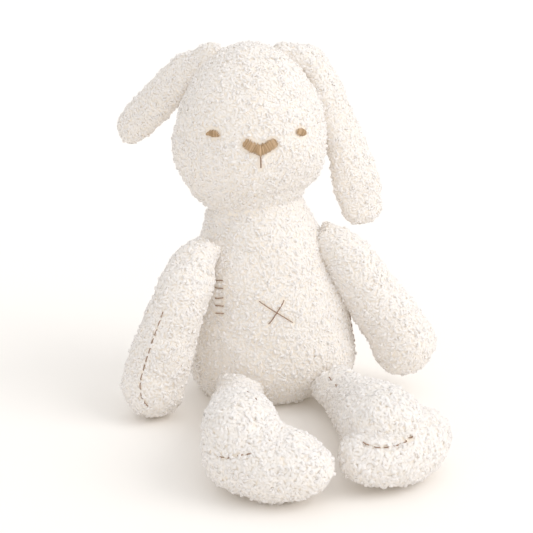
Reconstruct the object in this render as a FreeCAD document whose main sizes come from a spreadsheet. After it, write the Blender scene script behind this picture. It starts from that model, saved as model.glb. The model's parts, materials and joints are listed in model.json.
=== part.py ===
import FreeCAD, Part
import math
import os

# Stuffed rabbit, sitting with its legs forward.
# Frame: millimetres, +Z up, the rabbit faces -Y, its own left side is +X.
# Origin: the middle of the flat seat, on the surface it sits on.

Vector = FreeCAD.Vector
Rotation = FreeCAD.Rotation
Placement = FreeCAD.Placement

doc = FreeCAD.newDocument("StuffedRabbit")
sheet = doc.addObject("Spreadsheet::Sheet", "Sizes")

# ---------------------------------------------------------------- driving dimensions
SIZES = {
    # fabric and fit
    "cover_thickness": 2.5,
    "thread_height": 0.8,
    "socket_gap": 0.7,
    "press_gap": 1.4,
    # torso: a pear made of two half ellipsoids, cut flat at the seat
    "torso_half_width": 63.0,
    "torso_half_depth": 58.0,
    "torso_rise": 132.0,
    "torso_drop": 46.0,
    "torso_centre_height": 34.0,
    "torso_lean": 6.0,
    "seat_panel_height": 7.0,
    "pellet_bag_radius": 33.0,
    "pellet_bag_height": 20.0,
    # neck: a stuffed ball held between torso and head
    "neck_ball_radius": 34.0,
    "neck_height": 141.0,
    "neck_crease_half_gap": 5.0,
    # head: an egg made of two half ellipsoids
    "head_half_width": 54.5,
    "head_half_depth": 51.0,
    "head_rise": 85.0,
    "head_drop": 53.0,
    "head_centre_height": 180.0,
    # arms
    "arm_ball_radius": 13.0,
    "arm_upper_radius": 14.0,
    "arm_middle_radius": 18.5,
    "arm_lower_radius": 21.5,
    "arm_hand_radius": 23.0,
    # legs
    "leg_ball_radius": 16.0,
    "leg_upper_radius": 18.5,
    "leg_middle_radius": 22.5,
    "leg_ankle_radius": 25.0,
    "foot_half_length": 46.0,
    "foot_half_depth": 29.0,
    "foot_half_height": 25.0,
    # ears: half width and half thickness
    "ear_root_width": 9.0,
    "ear_root_thickness": 8.5,
    "ear_upper_width": 12.5,
    "ear_upper_thickness": 9.5,
    "ear_middle_width": 16.0,
    "ear_middle_thickness": 10.0,
    "ear_tip_width": 17.0,
    "ear_tip_thickness": 9.5,
    # stitches
    "stitch_width": 1.4,
    "belly_cross_length": 30.0,
    "nose_width": 25.0,
    "nose_height": 12.4,
    "eye_width": 8.8,
    "eye_height": 4.8,
    "mouth_length": 10.0,
}

for row, (alias, value) in enumerate(SIZES.items(), start=1):
    sheet.set("A%d" % row, alias)
    sheet.set("B%d" % row, str(value))
    sheet.setAlias("B%d" % row, alias)
doc.recompute()


def size(alias):
    """The plain number held under an alias of the sheet."""
    return float(getattr(sheet, alias))


# ---------------------------------------------------------------- landmarks
NECK = Vector(-15.0, 8.0, size("neck_height"))
TORSO_CENTRE = Vector(-4.0, 1.0, size("torso_centre_height"))
HEAD_CENTRE = Vector(-17.5, 10.0, size("head_centre_height"))

# Centre lines, from the joint's ball to the far end.
RIGHT_ARM_PATH = [
    Vector(-47.5, -21.5, 116.0),
    Vector(-66.5, -34.0, 104.0),
    Vector(-78.0, -43.0, 83.0),
    Vector(-88.5, -45.0, 56.0),
    Vector(-98.0, -47.0, 24.0),
]
LEFT_ARM_PATH = [
    Vector(33.6, -4.6, 119.4),
    Vector(51.5, -14.0, 107.5),
    Vector(67.5, -17.0, 82.5),
    Vector(83.5, -19.0, 57.0),
    Vector(94.5, -22.0, 37.6),
]
RIGHT_LEG_PATH = [
    Vector(-35.5, -49.0, 19.5),
    Vector(-41.0, -88.0, 22.0),
    Vector(-46.0, -126.0, 26.5),
    Vector(-50.0, -165.0, 33.0),
]
LEFT_LEG_PATH = [
    Vector(35.5, -49.0, 19.5),
    Vector(41.0, -88.0, 22.0),
    Vector(45.0, -128.0, 28.0),
    Vector(46.5, -168.0, 35.0),
]
RIGHT_FOOT = (Vector(-35.0, -198.0, 25.5), -28.0)
LEFT_FOOT = (Vector(52.5, -188.0, 25.5), 32.0)
RIGHT_EAR_PATH = [
    Vector(-44.8, 23.0, 254.0),
    Vector(-57.5, 33.5, 247.0),
    Vector(-69.5, 45.0, 231.0),
    Vector(-83.0, 59.0, 211.0),
    Vector(-95.5, 74.0, 193.5),
]
LEFT_EAR_PATH = [
    Vector(10.9, 20.8, 254.0),
    Vector(29.5, 20.5, 248.0),
    Vector(44.5, 21.5, 219.0),
    Vector(56.5, 20.5, 179.0),
    Vector(66.5, 17.0, 143.0),
]
# Direction of the flat face of each ear at each station.
RIGHT_EAR_FACING = [Vector(-0.45, -0.75, 0.45)] * 5
LEFT_EAR_FACING = [
    Vector(0.3, 0.0, 1.0),
    Vector(0.6, -0.1, 0.8),
    Vector(1.0, -0.4, 0.3),
    Vector(0.9, -0.6, 0.2),
    Vector(0.8, -0.7, 0.1),
]
# The direction that each limb turns about at its root, and how far it turns, in degrees.
TRAVEL = {
    "RightArm": (Vector(-0.8, 0.6, 0), 75.0),
    "LeftArm": (Vector(-0.8, -0.6, 0), 75.0),
    "RightLeg": (Vector(-1, 0, 0), 50.0),
    "LeftLeg": (Vector(-1, 0, 0), 50.0),
    "RightEar": (Vector(0.75, 0.66, 0), 100.0),
    "LeftEar": (Vector(0, -1, 0), 115.0),
}
TRAVEL_STEP = 30.0

# A rounded end is drawn with sections at these angles round the ball.
END_ANGLES = [76.0, 52.0, 26.0]


# ---------------------------------------------------------------- building helpers
def add(kind, name):
    return doc.addObject(kind, name)


def bind(item, **expressions):
    """Tie properties of an object to cells of the sheet."""
    for prop, expression in expressions.items():
        item.setExpression(prop, expression)


def cut(name, base, tool):
    item = add("Part::Cut", name)
    item.Base = base
    item.Tool = tool
    return item


def common(name, base, tool):
    item = add("Part::Common", name)
    item.Base = base
    item.Tool = tool
    return item


def union(name, pieces):
    item = add("Part::MultiFuse", name)
    item.Shapes = pieces
    return item


def ball(name, centre, radius):
    item = add("Part::Sphere", name)
    bind(item, Radius=radius)
    item.Placement = Placement(centre, Rotation())
    return item


def slab(name, placement, length, width, height):
    """A box centred on its placement in X and Y, rising from it in Z."""
    item = add("Part::Box", name)
    item.Length = length
    item.Width = width
    item.Height = height
    item.Placement = placement.multiply(Placement(Vector(-length / 2, -width / 2, 0), Rotation()))
    return item


def half_space(name, point, outward):
    """A large box that lies wholly on the outward side of a plane."""
    turn = Rotation(Vector(0, 0, 1), outward)
    return slab(name, Placement(point, turn), 600, 600, 400)


def egg(name, centre, tilt, width, depth, rise, drop, inset):
    """Two half ellipsoids on one centre, every size drawn in by the same inset."""
    halves = []
    for half, height, low, high in (("Top", rise, 0, 90), ("Bottom", drop, -90, 0)):
        item = add("Part::Ellipsoid", name + half)
        bind(
            item,
            Radius1="Sizes.%s - %s" % (height, inset),
            Radius2="Sizes.%s - %s" % (width, inset),
            Radius3="Sizes.%s - %s" % (depth, inset),
        )
        item.Angle1 = low
        item.Angle2 = high
        item.Placement = Placement(centre, tilt)
        halves.append(item)
    return union(name, halves)


def directions(path):
    """The running direction of a centre line at each of its points."""
    found = []
    for i in range(len(path)):
        before = path[max(i - 1, 0)]
        after = path[min(i + 1, len(path) - 1)]
        found.append((after - before).normalize())
    return found


def section(name, centre, along, across, wide, thick):
    """One closed section of a limb: an ellipse at right angles to the centre line."""
    item = add("Part::Ellipse", name)
    bind(item, MajorRadius=wide, MinorRadius=thick)
    x_axis = (across - along * across.dot(along)).normalize()
    y_axis = along.cross(x_axis)
    item.Placement = Placement(centre, Rotation(x_axis, y_axis, along, "ZXY"))
    return item


def limb(name, path, across, wides, thicks, inset):
    """A stuffed limb: a smooth loft along a centre line with a rounded end at both ends."""
    along = directions(path)
    sections = []

    def end_sections(index, sign):
        wide, thick = wides[index], thicks[index]
        reach = size(wide) - inset_value(inset)
        made = []
        for angle in END_ANGLES:
            shrink = math.cos(math.radians(angle))
            shift = sign * reach * math.sin(math.radians(angle))
            made.append(
                section(
                    "%sEnd%d_%d" % (name, index, int(angle)),
                    path[index] + along[index] * shift,
                    along[index],
                    across[index],
                    "(Sizes.%s - %s) * %.6f" % (wide, inset, shrink),
                    "(Sizes.%s - %s) * %.6f" % (thick, inset, shrink),
                )
            )
        return made

    sections += end_sections(0, -1.0)
    for i, point in enumerate(path):
        sections.append(
            section(
                "%sSection%d" % (name, i),
                point,
                along[i],
                across[i],
                "Sizes.%s - %s" % (wides[i], inset),
                "Sizes.%s - %s" % (thicks[i], inset),
            )
        )
    sections += list(reversed(end_sections(len(path) - 1, 1.0)))
    item = add("Part::Loft", name)
    item.Sections = sections
    item.Solid = True
    item.Ruled = False
    return item


def pressed(title, word, trunk, path, radius, limb_shape, inset):
    """Flatten a limb's root where the trunk presses on it over its travel, and keep its ball."""
    centre, tilt, sizes = trunk
    axis, reach = TRAVEL[title]
    steps = math.ceil(reach / TRAVEL_STEP)
    gap = "(-(Sizes.press_gap + %s))" % inset
    trunks = []
    for i in range(steps + 1):
        back = Rotation(axis, -reach * i / steps)
        place = path[0] + back.multVec(centre - path[0])
        name = "%s%sTrunk%d" % (title, word, i)
        trunks.append(egg(name, place, back.multiply(tilt), *sizes, gap))
    room = union("%s%sTrunkRoom" % (title, word), trunks)
    trimmed = cut("%s%sTrimmed" % (title, word), limb_shape, room)
    root = ball("%s%sRoot" % (title, word), path[0], "Sizes.%s - %s" % (radius, inset))
    # The ball's own pole points down the limb, so that its seam meets the limb squarely.
    root.Placement = Placement(path[0], Rotation(Vector(0, 0, 1), path[1] - path[0]))
    return union("%s%sWhole" % (title, word), [trimmed, root])


def inset_value(inset):
    """The number behind an inset expression."""
    sign = -1.0 if inset.startswith("(-") else 1.0
    word = inset.replace("(-", "").replace(")", "").replace("Sizes.", "").strip()
    return 0.0 if word == "0" else sign * size(word)


OUTER = "0"
INNER = "Sizes.cover_thickness"
RAISED = "(-Sizes.thread_height)"
LAYERS = (("Outer", OUTER), ("Inner", INNER), ("Raised", RAISED))

nodes = []


def publish(item, label):
    """Name a finished sub-part; it becomes one node of the toy."""
    item.Label = label
    nodes.append(item)
    return item


def cover_halves(item, name, point, outward, front_label, back_label):
    """Split a cover along its seam plane into two sewing panels."""
    side = half_space(name + "SeamSide", point, outward)
    publish(common(name + "PanelA", item, side), front_label)
    publish(cut(name + "PanelB", item, side), back_label)


# ---------------------------------------------------------------- torso and neck
lean = Rotation(Vector(0, 1, 0), -size("torso_lean")).multiply(Rotation(Vector(1, 0, 0), -3.5))
neck_axis = lean.multVec(Vector(0, 0, 1))
TORSO_SIZES = ["torso_half_width", "torso_half_depth", "torso_rise", "torso_drop"]
HEAD_SIZES = ["head_half_width", "head_half_depth", "head_rise", "head_drop"]
TORSO_TRUNK = (TORSO_CENTRE, lean, TORSO_SIZES)
HEAD_TRUNK = (HEAD_CENTRE, Rotation(), HEAD_SIZES)
torso = {}
head = {}
for word, inset in LAYERS:
    torso[word] = egg("Torso" + word, TORSO_CENTRE, lean, *TORSO_SIZES, inset)
    head[word] = egg("Head" + word, HEAD_CENTRE, Rotation(), *HEAD_SIZES, inset)

half_gap = size("neck_crease_half_gap")
above_neck = half_space("AboveNeck", NECK - neck_axis * half_gap, neck_axis)
below_neck = half_space("BelowNeck", NECK + neck_axis * half_gap, neck_axis * -1)
floor = half_space("Floor", Vector(0, 0, 0), Vector(0, 0, -1))
neck_socket = ball("NeckSocket", NECK, "Sizes.neck_ball_radius + Sizes.socket_gap")
sockets = {}
for side, path, radius in (
    ("RightShoulder", RIGHT_ARM_PATH, "arm_ball_radius"),
    ("LeftShoulder", LEFT_ARM_PATH, "arm_ball_radius"),
    ("RightHip", RIGHT_LEG_PATH, "leg_ball_radius"),
    ("LeftHip", LEFT_LEG_PATH, "leg_ball_radius"),
    ("RightEar", RIGHT_EAR_PATH, "ear_root_width"),
    ("LeftEar", LEFT_EAR_PATH, "ear_root_width"),
):
    sockets[side] = ball(side + "Socket", path[0], "Sizes.%s + Sizes.socket_gap" % radius)

torso_room = union(
    "TorsoRoom",
    [above_neck, floor, neck_socket]
    + [sockets[k] for k in ("RightShoulder", "LeftShoulder", "RightHip", "LeftHip")],
)
head_room = union("HeadRoom", [below_neck, neck_socket, sockets["RightEar"], sockets["LeftEar"]])

torso_body = cut("TorsoBody", torso["Outer"], torso_room)
seat_inside = half_space("SeatInside", Vector(0, 0, size("cover_thickness")), Vector(0, 0, -1))
torso_hollow = cut("TorsoHollow", torso["Inner"], seat_inside)
torso_cover = cut("TorsoCover", torso_body, torso_hollow)
seat_side = half_space("SeatSide", Vector(0, 0, size("seat_panel_height")), Vector(0, 0, -1))
publish(common("SeatPanel", torso_cover, seat_side), "seat_panel")
torso_wall = cut("TorsoWall", torso_cover, seat_side)

# The side seams lie 45 degrees and 81 degrees round from the front.
seam_point = TORSO_CENTRE + Vector(-41.0, -41.0, 0.0)
cover_halves(
    torso_wall,
    "Torso",
    seam_point,
    Vector(math.sin(math.radians(18.0)), -math.cos(math.radians(18.0)), 0),
    "torso_front_panel",
    "torso_back_panel",
)
pellet_bag = add("Part::Cylinder", "PelletBag")
bind(pellet_bag, Radius="Sizes.pellet_bag_radius", Height="Sizes.pellet_bag_height")
pellet_bag.Placement = Placement(Vector(-2, 2, size("cover_thickness")), Rotation())
torso_stuffed = common("TorsoStuffed", torso_body, torso_hollow)
publish(cut("TorsoFilling", torso_stuffed, pellet_bag), "torso_filling")
publish(pellet_bag, "seat_pellet_bag")

neck_outer = ball("NeckOuter", NECK, "Sizes.neck_ball_radius")
neck_inner = ball("NeckInner", NECK, "Sizes.neck_ball_radius - Sizes.cover_thickness")
publish(cut("NeckBand", neck_outer, neck_inner), "neck_gather_band")
publish(neck_inner, "neck_filling")

# ---------------------------------------------------------------- head
head_body = cut("HeadBody", head["Outer"], head_room)
head_cover = cut("HeadCover", head_body, head["Inner"])
cover_halves(
    head_cover,
    "Head",
    HEAD_CENTRE + Vector(0, 8, 0),
    Vector(0, -1, 0),
    "face_panel",
    "back_of_head_panel",
)
publish(common("HeadFilling", head_body, head["Inner"]), "head_filling")

# ---------------------------------------------------------------- ears
EAR_WIDTHS = ["ear_root_width", "ear_upper_width", "ear_middle_width", "ear_middle_width", "ear_tip_width"]
EAR_THICKS = [
    "ear_root_thickness",
    "ear_upper_thickness",
    "ear_middle_thickness",
    "ear_middle_thickness",
    "ear_tip_thickness",
]
ear = {}
for side, path, facing in (
    ("right", RIGHT_EAR_PATH, RIGHT_EAR_FACING),
    ("left", LEFT_EAR_PATH, LEFT_EAR_FACING),
):
    along = directions(path)
    across = [along[i].cross(facing[i]).normalize() for i in range(len(path))]
    title = side.capitalize() + "Ear"
    for word, inset in LAYERS[:2]:
        shape = limb(title + word, path, across, EAR_WIDTHS, EAR_THICKS, inset)
        ear[side + word] = pressed(title, word, HEAD_TRUNK, path, "ear_root_width", shape, inset)
    cover = cut(title + "Cover", ear[side + "Outer"], ear[side + "Inner"])
    middle = (path[1] + path[-1]) * 0.5
    normal = facing[3]
    run = (path[-1] - path[1]).normalize()
    normal = (normal - run * normal.dot(run)).normalize()
    cover_halves(cover, title, middle, normal, side + "_ear_front_panel", side + "_ear_back_panel")
    publish(ear[side + "Inner"], side + "_ear_filling")

# ---------------------------------------------------------------- arms
ARM_RADII = [
    "arm_ball_radius",
    "arm_upper_radius",
    "arm_middle_radius",
    "arm_lower_radius",
    "arm_hand_radius",
]
arm = {}
for side, path, seam_facing in (
    ("right", RIGHT_ARM_PATH, Vector(0.35, -0.94, 0)),
    ("left", LEFT_ARM_PATH, Vector(-0.35, -0.94, 0)),
):
    title = side.capitalize() + "Arm"
    across = [Vector(0, 1, 0)] * len(path)
    for word, inset in LAYERS:
        shape = limb(title + word, path, across, ARM_RADII, ARM_RADII, inset)
        arm[side + word + "Plain"] = shape
        if word != "Raised":
            shape = pressed(title, word, TORSO_TRUNK, path, "arm_ball_radius", shape, inset)
        arm[side + word] = shape
    cover = cut(title + "Cover", arm[side + "Outer"], arm[side + "Inner"])
    run = (path[-1] - path[1]).normalize()
    normal = (seam_facing - run * seam_facing.dot(run)).normalize()
    cover_halves(cover, title, path[2], normal, side + "_arm_front_panel", side + "_arm_back_panel")
    publish(arm[side + "Inner"], side + "_arm_filling")

# ---------------------------------------------------------------- legs
# Each leg is a shin tube with a rounded end, sewn into a foot lobe that points to the left.
LEG_RADII = ["leg_ball_radius", "leg_upper_radius", "leg_middle_radius", "leg_ankle_radius"]
shin = {}
foot = {}
for side, path, lobe_at, inner_side in (
    ("right", RIGHT_LEG_PATH, RIGHT_FOOT, 1.0),
    ("left", LEFT_LEG_PATH, LEFT_FOOT, -1.0),
):
    title = side.capitalize() + "Leg"
    across = [Vector(0, 0, -1)] * len(path)
    for word, inset in LAYERS:
        shape = limb(title + "Shin" + word, path, across, LEG_RADII, LEG_RADII, inset)
        shin[side + word + "Plain"] = shape
        if word != "Raised":
            shape = pressed(title, word, TORSO_TRUNK, path, "leg_ball_radius", shape, inset)
        shin[side + word] = shape
        lobe = add("Part::Ellipsoid", title + "Foot" + word)
        bind(
            lobe,
            Radius1="Sizes.foot_half_height - %s" % inset,
            Radius2="Sizes.foot_half_length - %s" % inset,
            Radius3="Sizes.foot_half_depth - %s" % inset,
        )
        lobe.Placement = Placement(lobe_at[0], Rotation(Vector(0, 0, 1), lobe_at[1]))
        foot[side + word] = lobe
    publish(cut(title + "FootCover", foot[side + "Outer"], foot[side + "Inner"]), side + "_foot_panel")
    publish(foot[side + "Inner"], side + "_foot_filling")
    halves = half_space(title + "SeamSide", path[1], Vector(inner_side, 0.12, 0))
    whole = cut(title + "ShinWhole", shin[side + "Outer"], foot[side + "Outer"])
    inner_half = common(title + "InnerHalf", whole, halves)
    outer_half = cut(title + "OuterHalf", whole, halves)
    publish(cut(title + "PanelA", inner_half, shin[side + "Inner"]), side + "_leg_inner_panel")
    publish(cut(title + "PanelB", outer_half, shin[side + "Inner"]), side + "_leg_outer_panel")
    publish(cut(title + "Filling", shin[side + "Inner"], foot[side + "Outer"]), side + "_leg_filling")


# ---------------------------------------------------------------- embroidery and thread
def patch(name, raised, outer, prism, label):
    """Stitches that lie on a cover: the thin layer just above it, inside a prism."""
    piece = common(name + "Block", raised, prism)
    return publish(cut(name, piece, outer), label)


def bar(name, centre, length, width, depth, turn):
    """A short straight stitch: a box seen end-on from the front, turned in the XZ plane."""
    item = add("Part::Box", name)
    item.Length = length
    item.Height = width
    item.Width = depth
    spin = Rotation(Vector(0, 1, 0), turn)
    shift = Placement(Vector(-length / 2, -depth / 2, -width / 2), Rotation())
    item.Placement = Placement(centre, spin).multiply(shift)
    return item


thread = size("stitch_width")

# Eyes: half-moons, domed above and flat below.
for side, x, level in (("right", -49.9, 206.2), ("left", 14.8, 203.6)):
    dome = add("Part::Cylinder", side.capitalize() + "EyeDome")
    dome.Radius = size("eye_width") / 2
    dome.Height = 60
    dome.Placement = Placement(Vector(x, -10, level), Rotation(Vector(1, 0, 0), 90))
    lid = bar(side.capitalize() + "EyeLid", Vector(x, -40, level + 2), 12, size("eye_height"), 60, 0)
    moon = common(side.capitalize() + "EyeMoon", dome, lid)
    patch(side.capitalize() + "Eye", head["Raised"], head["Outer"], moon, side + "_eye_embroidery")

# Nose: two rounded wings that rise to each side from a point below.
nose_x, nose_z = -17.0, 198.5
wing_radius = size("nose_height") * 0.30
wing_reach = size("nose_width") / 2 - wing_radius
WING_RISE, WING_ROOT = 3.0, -1.9


def nose_round(name, x, z):
    """A round end of the nose, in the face's X-Z plane."""
    item = add("Part::Cylinder", name)
    item.Radius = wing_radius
    item.Height = 60
    item.Placement = Placement(Vector(nose_x + x, -10, nose_z + z), Rotation(Vector(1, 0, 0), 90))
    return item


wings = [nose_round("NosePoint", 0, WING_ROOT)]
wing_slope = math.degrees(math.atan2(WING_RISE - WING_ROOT, wing_reach))
for sign, word in ((-1, "Right"), (1, "Left")):
    wings.append(nose_round("NoseEnd" + word, sign * wing_reach, WING_RISE))
    middle = Vector(nose_x + sign * wing_reach / 2, -40, nose_z + (WING_RISE + WING_ROOT) / 2)
    length = math.hypot(wing_reach, WING_RISE - WING_ROOT)
    wings.append(bar("NoseWing" + word, middle, length, 2 * wing_radius, 60, -sign * wing_slope))
nose_prism = union("NosePrism", wings)
patch("Nose", head["Raised"], head["Outer"], nose_prism, "nose_embroidery")

mouth_prism = bar("MouthPrism", Vector(nose_x + 0.2, -40, nose_z - 9.4), thread, size("mouth_length"), 60, 0)
mouth_below = cut("MouthBelowNose", mouth_prism, nose_prism)
patch("Mouth", head["Raised"], head["Outer"], mouth_below, "mouth_stitch")

# Belly: a large cross of two single threads.
cross = union(
    "BellyCrossPrism",
    [
        bar("BellyLong", Vector(-7.2, -45, 78.4), size("belly_cross_length"), thread, 50, 34),
        bar("BellyShort", Vector(-7.2, -45, 78.0), size("belly_cross_length") * 0.68, thread, 50, -55),
    ],
)
patch("BellyCross", torso["Raised"], torso["Outer"], cross, "belly_cross_stitch")

# Right side seam: five short bars across it, one above another.
bars = []
for i in range(5):
    centre = Vector(-47.6, -45.0, 74.8 + 5.9 * i)
    bars.append(bar("LadderBar%d" % i, centre, 7.0, thread, 34, 0))
ladder = union("LadderPrism", bars)
patch("Ladder", torso["Raised"], torso["Outer"], ladder, "side_ladder_stitches")

# Left side seam: one running thread down the seam.
left_seam = slab(
    "LeftSeamPrism",
    Placement(Vector(56.0, -7.5, 30.0), Rotation()),
    20.0,
    thread,
    46.0,
)
patch("LeftSeamThread", torso["Raised"], torso["Outer"], left_seam, "left_side_seam_thread")

# Right arm: a running thread down the outer front of the arm.
low, high = RIGHT_ARM_PATH[-1], RIGHT_ARM_PATH[2]
line = (low - high).normalize()
toward = Vector(-0.45, -0.89, 0)
toward = (toward - line * toward.dot(line)).normalize()
strip = slab(
    "ArmThreadPrism",
    Placement(high + toward * 10, Rotation(line.cross(toward), toward, line, "ZXY")),
    thread,
    34.0,
    (low - high).Length,
)
patch("ArmThread", arm["rightRaised"], arm["rightOuterPlain"], strip, "right_arm_seam_thread")

# Feet: a smile-shaped row of stitches over each foot, and short stitches on each shin.
# Each stitch is given by its place across and up, and its slope in degrees.
RIGHT_SMILE = [(-71.0, 33.0, 12.0), (-65.0, 34.2, 8.0), (-58.5, 35.6, -8.0), (-52.5, 37.8, -16.0)]
LEFT_SMILE = [
    (24.5, 38.4, 28.0),
    (30.0, 37.0, 6.0),
    (36.5, 37.0, -4.0),
    (43.0, 37.8, -8.0),
    (49.5, 39.2, -14.0),
    (56.0, 41.0, -20.0),
]
for side, dashes, front, shin_at, turn in (
    ("right", RIGHT_SMILE, -214.0, Vector(-37.0, -92.0, 36.0), 62.0),
    ("left", LEFT_SMILE, -214.0, Vector(36.0, -82.0, 36.0), 58.0),
):
    title = side.capitalize()
    bars = []
    for i, (x, z, slope) in enumerate(dashes):
        bars.append(bar("%sSmileBar%d" % (title, i), Vector(x, front, z), 5.0, thread, 34, slope))
    smile = union(title + "SmilePrism", bars)
    patch(title + "Smile", foot[side + "Raised"], foot[side + "Outer"], smile, side + "_ankle_stitch")
    shin_line = slab(
        title + "ShinPrism",
        Placement(shin_at, Rotation(Vector(0, 0, 1), turn)),
        16.0,
        thread,
        30.0,
    )
    patch(
        title + "ShinStitch",
        shin[side + "Raised"],
        shin[side + "OuterPlain"],
        shin_line,
        side + "_shin_stitch",
    )

# ---------------------------------------------------------------- check and write
doc.recompute()
failed = [item.Name for item in doc.Objects if "Invalid" in item.State or "Error" in item.State]
if failed:
    raise RuntimeError("these did not build: %s" % failed)
unsound = [item.Label for item in nodes if item.Shape.isNull() or not item.Shape.isValid()]
unsound += [item.Label for item in nodes if item.Label not in unsound and item.Shape.Volume <= 0]
# A solid that is turned inside out shows no error, but it holds a point far away from the toy.
FAR = [Vector(900, 900, 900), Vector(-700, 300, 500), Vector(100, -800, -50)]
for item in nodes:
    if item.Label not in unsound and any(item.Shape.isInside(far, 1e-4, True) for far in FAR):
        unsound.append(item.Label)
if unsound:
    raise RuntimeError("these have no sound solid: %s" % unsound)

# A cut that removes nothing shows no error, so the two ankles are compared with the uncut shins.
for side in ("right", "left"):
    whole_shin = shin[side + "Inner"].Shape.Volume
    trimmed = doc.getObject(side.capitalize() + "LegFilling").Shape.Volume
    if trimmed > 0.97 * whole_shin:
        raise RuntimeError("the %s shin was not trimmed to the foot" % side)

os.makedirs("parts", exist_ok=True)
for item in nodes:
    item.Shape.exportStep("parts/%s.step" % item.Label)
    solids = len(item.Shape.Solids)
    print("%-28s %9.1f mm3  %d solid(s)" % (item.Label, item.Shape.Volume, solids))
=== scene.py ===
import json
import math

import bpy
import numpy as np
from mathutils import Matrix, Vector
from mathutils.bvhtree import BVHTree


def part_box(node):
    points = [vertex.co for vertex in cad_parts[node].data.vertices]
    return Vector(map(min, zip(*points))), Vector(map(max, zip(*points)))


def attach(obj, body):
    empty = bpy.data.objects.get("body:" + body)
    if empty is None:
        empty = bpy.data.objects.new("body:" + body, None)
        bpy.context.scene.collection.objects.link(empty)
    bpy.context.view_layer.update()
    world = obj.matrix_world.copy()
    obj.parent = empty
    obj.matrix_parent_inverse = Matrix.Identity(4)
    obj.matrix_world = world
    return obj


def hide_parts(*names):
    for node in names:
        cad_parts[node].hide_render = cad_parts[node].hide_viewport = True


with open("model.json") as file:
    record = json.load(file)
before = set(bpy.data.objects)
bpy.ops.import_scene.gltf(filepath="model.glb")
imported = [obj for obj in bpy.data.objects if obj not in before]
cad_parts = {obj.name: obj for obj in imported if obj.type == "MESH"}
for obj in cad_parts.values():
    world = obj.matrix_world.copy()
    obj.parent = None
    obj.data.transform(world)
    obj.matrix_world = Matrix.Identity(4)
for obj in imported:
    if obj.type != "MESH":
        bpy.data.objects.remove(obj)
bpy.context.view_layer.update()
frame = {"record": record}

MM = 0.001
SEED = 20417
DETAIL = 1.0

JOINTS = {j["name"]: j for j in frame["record"]["behaviour"]["joints"]}


def vec(*values):
    return np.array(values, float)


def joint_at(name):
    """A joint's place, in millimetres."""
    return vec(*JOINTS[name]["pos_m"]) / MM


def box_mm(name):
    """The two corners of a CAD node's box, in millimetres."""
    low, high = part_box(name)
    return np.array(low, float) / MM, np.array(high, float) / MM


def node_centre(name):
    """The middle of a CAD node's box, in millimetres."""
    low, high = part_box(name)
    return (np.array(low, float) + np.array(high, float)) / (2 * MM)


def spun(degrees):
    """The matrix of a turn about Z."""
    a = math.radians(degrees)
    return np.array([[math.cos(a), -math.sin(a), 0], [math.sin(a), math.cos(a), 0], [0, 0, 1]])


def unit(v):
    v = np.asarray(v, float)
    return v / np.maximum(np.linalg.norm(v, axis=-1, keepdims=True), 1e-12)


def waves(points, size, seed, count=9):
    """Smooth noise between about -1 and 1, with features about `size` millimetres across."""
    rng = np.random.default_rng(seed)
    total = np.zeros(len(points))
    for _ in range(count):
        heading = unit(rng.normal(size=3)) * (2 * math.pi / size) * rng.uniform(0.6, 1.5)
        total += np.sin(points @ heading + rng.uniform(0, 2 * math.pi))
    return total / math.sqrt(count)


# ------------------------------------------------------------------ smooth closed forms
def smooth_rows(rows, steps):
    """Catmull-Rom rows through the given rows, `steps` to each span."""
    rows = np.asarray(rows, float)
    padded = np.vstack([2 * rows[0] - rows[1], rows, 2 * rows[-1] - rows[-2]])
    out = []
    for i in range(1, len(padded) - 2):
        a, b, c, d = padded[i - 1 : i + 3]
        for t in np.linspace(0, 1, steps, endpoint=False):
            out.append(
                0.5
                * (
                    2 * b
                    + (c - a) * t
                    + (2 * a - 5 * b + 4 * c - d) * t * t
                    + (3 * b - a - 3 * c + d) * t**3
                )
            )
    out.append(rows[-1])
    return np.array(out)


# A rounded end is drawn in rings, from nearly its pole (degrees) down to the first row.
CAP_FROM, CAP_TO, CAP_RINGS = 86, 12, 8
CAP_DEPTH = 1.25


def tube_form(rows, facing, around=56, steps=9, rounded=True, bulge=2.0):
    """A closed form along a centre line, with rounded or flat ends.

    Each row is x, y, z, half width, half thickness. Width runs at right angles to `facing`,
    which is one direction or one for each row. A `bulge` above 2 squares the section off.
    """
    rows = np.asarray(rows, float)
    facing = np.asarray(facing, float)
    if facing.ndim == 1:
        facing = np.tile(facing, (len(rows), 1))
    dense = smooth_rows(np.hstack([rows, facing]), steps)
    centre, wide, thick, face = dense[:, :3], dense[:, 3], dense[:, 4], dense[:, 5:8]
    along = unit(np.gradient(centre, axis=0))
    cap = np.radians(np.linspace(CAP_FROM, CAP_TO, CAP_RINGS))

    def cap_ring(i, outward, a):
        shift = outward * min(wide[i], thick[i] * CAP_DEPTH) * math.sin(a)
        return centre[i] + shift, along[i], wide[i] * math.cos(a), thick[i] * math.cos(a), face[i]

    rings = [(centre[i], along[i], wide[i], thick[i], face[i]) for i in range(len(centre))]
    if rounded:
        first = [cap_ring(0, -along[0], a) for a in cap]
        last = [cap_ring(-1, along[-1], a) for a in cap[::-1]]
        rings = first + rings + last
    turn = np.linspace(0, 2 * math.pi, around, endpoint=False)
    c, s = np.cos(turn), np.sin(turn)
    c = np.sign(c) * np.abs(c) ** (2 / bulge)
    s = np.sign(s) * np.abs(s) ** (2 / bulge)
    points = []
    for middle, run, w, t, look in rings:
        look = unit(look - run * (look @ run))
        side = np.cross(run, look)
        points.append(middle + np.outer(c * w, side) + np.outer(s * t, look))
    return closed_grid(np.array(points))


def closed_grid(points):
    """Vertices and faces of rings joined into one closed skin."""
    count, around = points.shape[:2]
    verts = points.reshape(-1, 3)
    faces = []
    for i in range(count - 1):
        for j in range(around):
            k = (j + 1) % around
            low, high = i * around, (i + 1) * around
            faces.append((low + j, low + k, high + k, high + j))
    faces.append(tuple(range(around - 1, -1, -1)))
    faces.append(tuple((count - 1) * around + j for j in range(around)))
    return verts, faces


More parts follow.
